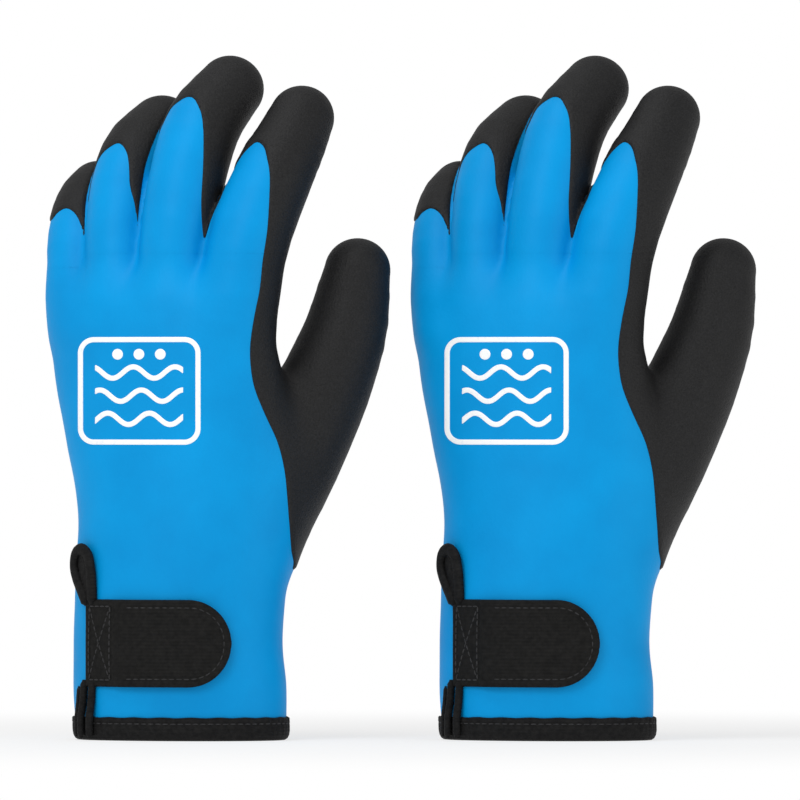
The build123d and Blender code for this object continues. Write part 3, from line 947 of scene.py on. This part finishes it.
def badge_inside(x, z):
    """Distance inside the print: a rounded frame round three waves and a row of dots."""
    half_x, half_z = (BADGE["right"] - BADGE["left"]) / 2, (BADGE["high"] - BADGE["low"]) / 2
    u, w = x - (BADGE["left"] + half_x), z - (BADGE["low"] + half_z)
    corner = BADGE["corner"]
    qx, qz = np.abs(u) - half_x + corner, np.abs(w) - half_z + corner
    rim = np.hypot(np.maximum(qx, 0), np.maximum(qz, 0)) + np.minimum(np.maximum(qx, qz), 0) - corner
    frame_line = BADGE["line"] / 2 - np.abs(rim + BADGE["line"] / 2)
    best = frame_line
    for row in range(3):
        level = -half_z + (0.24 + 0.215 * row) * 2 * half_z
        crest = level + 2.1 * np.sin((u + 3.0 * row) * 2 * math.pi / 15.6)
        slope = np.cos(np.arctan(2.1 * 2 * math.pi / 15.6 * np.cos((u + 3.0 * row) * 2 * math.pi / 15.6)))
        wave = BADGE["line"] / 2 - np.abs(w - crest) * slope
        reach = half_x - 6.5 - np.abs(u)
        best = np.maximum(best, np.minimum(wave, reach))
    for k in range(3):
        dot = 2.0 - np.hypot(u - (k - 1) * 8.0, w - 0.68 * half_z)
        best = np.maximum(best, dot)
    return best


def make_badge():
    step = 0.32
    xs = np.arange(BADGE["left"] - 1, BADGE["right"] + 1, step)
    zs = np.arange(BADGE["low"] - 1, BADGE["high"] + 1, step)
    grid_x, grid_z = np.meshgrid(xs, zs, indexing="ij")
    coarse = np.stack([grid_x.ravel(), np.full(grid_x.size, -24.0), grid_z.ravel()], axis=1)
    for _ in range(7):
        coarse[:, 1] += np.clip(-glove_distance(coarse), -4, 4) * -1.0
    faces = grid_faces(len(xs), len(zs))
    points, faces = clip(coarse, faces, badge_inside(coarse[:, 0], coarse[:, 2]))
    normals = surface_normals(points)
    edge = np.clip(badge_inside(points[:, 0], points[:, 2]) / 0.25, 0, 1)
    points, faces = close_layer(points, faces, normals, 0.06 + 0.12 * edge, np.full(len(points), -0.10))
    return points, orient(points, faces)


# ---- Build both gloves ----


def glove_origin(glove):
    """The glove's own origin in the row frame: the hem's middle, less the hem's own offset."""
    low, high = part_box(glove + "_hem_binding")
    return np.array([(low[0] + high[0]) / 2 - 0.2 * MM, (low[1] + high[1]) / 2, 0.0])


def layer_sets():
    """Points and triangles of every soft layer, made once for both gloves."""
    fine, coarse = patches(FINE, 4), patches(COARSE, 3)
    layers = {}
    for name, (points, triangles) in fine.items():
        normals = surface_normals(points)
        sink = tuck(points, name)
        layers[name + "_shell"] = close_layer(points, triangles, normals, -sink, -sink - SHELL_THICKNESS)
        over = -shell_shows(points)
        black_points, black_triangles = clip(points, triangles, over)
        over = -shell_shows(black_points)
        black_normals = surface_normals(black_points)
        rounded = np.sqrt(1 - (1 - np.clip(over / 1.1, 0, 1)) ** 2)
        thick = 0.12 + (COATING_LIFT - 0.12) * rounded - tuck(black_points, name)
        layers[("palm" if name == "hand" else name) + "_coating"] = close_layer(
            black_points, black_triangles, black_normals, thick, np.full(len(thick), -COATING_SINK)
        )
    for name, (points, triangles) in coarse.items():
        normals = surface_normals(points)
        layers[name + "_liner"] = close_layer(points, triangles, normals, -LINER_DEPTHS[0], -LINER_DEPTHS[1])
    return layers


def strap_top(angle, z):
    """The outset of the strap's face, where its stitches lie."""
    x = cuff_point(np.asarray(angle), np.asarray(z), STRAP_OUTSET)[..., 0]
    return strap_lift(x) + 1.32


def sewn_stitches():
    """The box and cross sewn through the strap's fixed end."""
    left, right = strap_angle(STRAP_SEWN_X + 1.6), strap_angle(STRAP_FOLD_X - 1.4)
    low, high = STRAP_LOW + 2.6, STRAP_HIGH - 2.6
    corners = [(left, low), (right, low), (right, high), (left, high), (left, low)]
    cross = [(left, low), (right, high)], [(left, high), (right, low)]
    parts = [make_stitches(dense(corners), strap_top, 1.9, 0.6, 0.30)]
    parts += [make_stitches(dense(line), strap_top, 1.9, 0.6, 0.28) for line in cross]
    return join(parts)


def dense(corners):
    """A route with many points along each straight run between its corners."""
    corners = np.asarray(corners, float)
    spots = np.linspace(0, len(corners) - 1, 60 * (len(corners) - 1) + 1)
    return np.stack([np.interp(spots, np.arange(len(corners)), corners[:, k]) for k in range(2)], axis=1)


def strap_edge_stitches():
    """The row of stitches that runs inside the free strap's edge."""
    start, bend = strap_angle(STRAP_FOLD_X + 5), STRAP_TIP_X - STRAP_HALF
    half = STRAP_HALF - STRAP_SEAM
    turns = np.linspace(-math.pi / 2, math.pi / 2, 60)
    tip = [(strap_angle(bend + half * math.cos(t)), STRAP_MIDDLE + half * math.sin(t)) for t in turns]
    low = [(a, STRAP_MIDDLE - half) for a in np.linspace(start, tip[0][0], 60)]
    high = [(a, STRAP_MIDDLE + half) for a in np.linspace(tip[-1][0], start, 60)]
    return make_stitches(low + tip + high, lambda a, z: strap_top(a, z) - 0.16, 1.9, 0.7, 0.24)


def make_patch(start_x, tip_gap, margin, depths):
    """A tape under the strap, following its round end this far short of its tip."""
    shape = strap_shape(start_x, STRAP_TIP_X - tip_gap, margin)
    return outline_on_cuff(shape, *strap_grid(start_x - 2, STRAP_TIP_X, 0.8), depths, 0.5)


LAYERS = layer_sets()
CUFF_PARTS = {
    "hem_binding": ("binding", make_hem()),
    "hem_stitching": ("thread", hem_stitches()),
    "slit_binding": ("binding", make_slit()),
    "strap_stitching": ("thread", sewn_stitches()),
    "strap_edge_stitching": ("thread", strap_edge_stitches()),
    "strap_hook_patch": ("hook", make_patch(-6, 2, 2.0, (1.0, 1.8))),
    "strap": ("webbing", make_strap()),
    "cuff_loop_patch": ("loop", make_patch(-14, 1, 1.0, (0.1, 0.9))),
    "back_print": ("print", make_badge()),
}

ON_THE_FREE_STRAP = ("strap_hook_patch", "strap_edge_stitching")

for glove, letter in GLOVES.items():
    origin = glove_origin(glove)
    hand_body = "hand_" + letter
    for layer, (points, triangles) in LAYERS.items():
        limb, kind = layer.rsplit("_", 1)
        piece = add_piece(f"{glove}_soft_{layer}", points, triangles, MATERIALS[kind], origin, 50)
        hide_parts(f"{glove}_{layer}")
        if limb in ("hand", "palm"):
            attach(piece, hand_body)
        else:
            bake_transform(piece)
    for part, (kind, (points, triangles)) in CUFF_PARTS.items():
        piece = add_piece(f"{glove}_made_{part}", points, triangles, MATERIALS[kind], origin, 50)
        if part == "strap":
            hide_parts(f"{glove}_strap", f"{glove}_strap_sewn_end")
            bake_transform(piece)
            continue
        if glove + "_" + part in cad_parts:
            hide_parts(glove + "_" + part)
        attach(piece, ("strap_" if part in ON_THE_FREE_STRAP else "hand_") + letter)

# ---- Stage ----


def stage():
    """A white floor that fades into a white backdrop, soft lamps and a camera square to the gloves' backs."""
    scene = bpy.context.scene
    scene.view_settings.view_transform = "Standard"
    world = bpy.data.worlds.new("studio")
    scene.world = world
    world.use_nodes = True
    tree = world.node_tree
    dim = tree.nodes["Background"]
    dim.inputs["Color"].default_value = (1, 1, 1, 1)
    dim.inputs["Strength"].default_value = 0.55
    white = tree.nodes.new("ShaderNodeBackground")
    white.inputs["Color"].default_value = (1, 1, 1, 1)
    choice = tree.nodes.new("ShaderNodeMixShader")
    tree.links.new(tree.nodes.new("ShaderNodeLightPath").outputs["Is Camera Ray"], choice.inputs["Fac"])
    tree.links.new(dim.outputs["Background"], choice.inputs[1])
    tree.links.new(white.outputs["Background"], choice.inputs[2])
    tree.links.new(choice.outputs["Shader"], tree.nodes["World Output"].inputs["Surface"])
    floor = bpy.data.objects.new("floor", bpy.data.meshes.new("floor"))
    reach = 6.0
    corners = [(-reach, -reach, 0), (reach, -reach, 0), (reach, reach, 0), (-reach, reach, 0)]
    floor.data.from_pydata(corners, [], [(0, 1, 2, 3)])
    m = Nodes("white_floor")
    distance = m.add("ShaderNodeVectorMath", {0: m.place}, operation="LENGTH").outputs["Value"]
    ease = {"Value": distance, "From Min": 0.16, "From Max": 0.50, "To Min": 0.65}
    fade = m.add("ShaderNodeMapRange", ease, interpolation_type="SMOOTHSTEP").outputs["Result"]
    glow = m.add("ShaderNodeEmission", {"Color": (1, 1, 1, 1)}).outputs["Emission"]
    mix = m.add("ShaderNodeMixShader", {"Fac": fade, 1: m.shader.outputs["BSDF"], 2: glow})
    m.feed(m.tree.nodes["Material Output"].inputs["Surface"], mix.outputs["Shader"])
    m.finish(Base_Color=(0.9, 0.9, 0.9, 1), Roughness=0.8)
    floor.data.materials.append(m.material)
    scene.collection.objects.link(floor)
    floor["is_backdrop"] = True
    for name, place, size, power, aim in (
        ("key", (-0.55, -0.9, 0.75), 0.5, 3.8, (0, 0, 0.13)),
        ("fill", (0.8, -0.8, 0.35), 0.6, 1.8, (0, 0, 0.13)),
        ("top", (-0.25, -0.25, 1.0), 0.45, 2.4, (0, 0, 0.15)),
    ):
        light = bpy.data.lights.new(name, "AREA")
        light.size = size
        light.energy = power
        lamp = bpy.data.objects.new(name, light)
        lamp.location = place
        lamp.rotation_euler = (Vector(aim) - Vector(place)).to_track_quat("-Z", "Y").to_euler()
        scene.collection.objects.link(lamp)
    lens, sensor, view_width = 600.0, 36.0, 0.2975
    camera = bpy.data.objects.new("camera", bpy.data.cameras.new("camera"))
    camera.data.lens = lens
    camera.data.sensor_width = sensor
    camera.data.clip_end = 50
    low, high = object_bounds()
    front = glove_origin("glove_a")[1] - 0.012
    camera.location = ((low[0] + high[0]) / 2 - 0.0002, front - view_width * lens / sensor, 0.1266)
    camera.rotation_euler = (math.pi / 2, 0, 0)
    scene.collection.objects.link(camera)
    scene.camera = camera


stage()
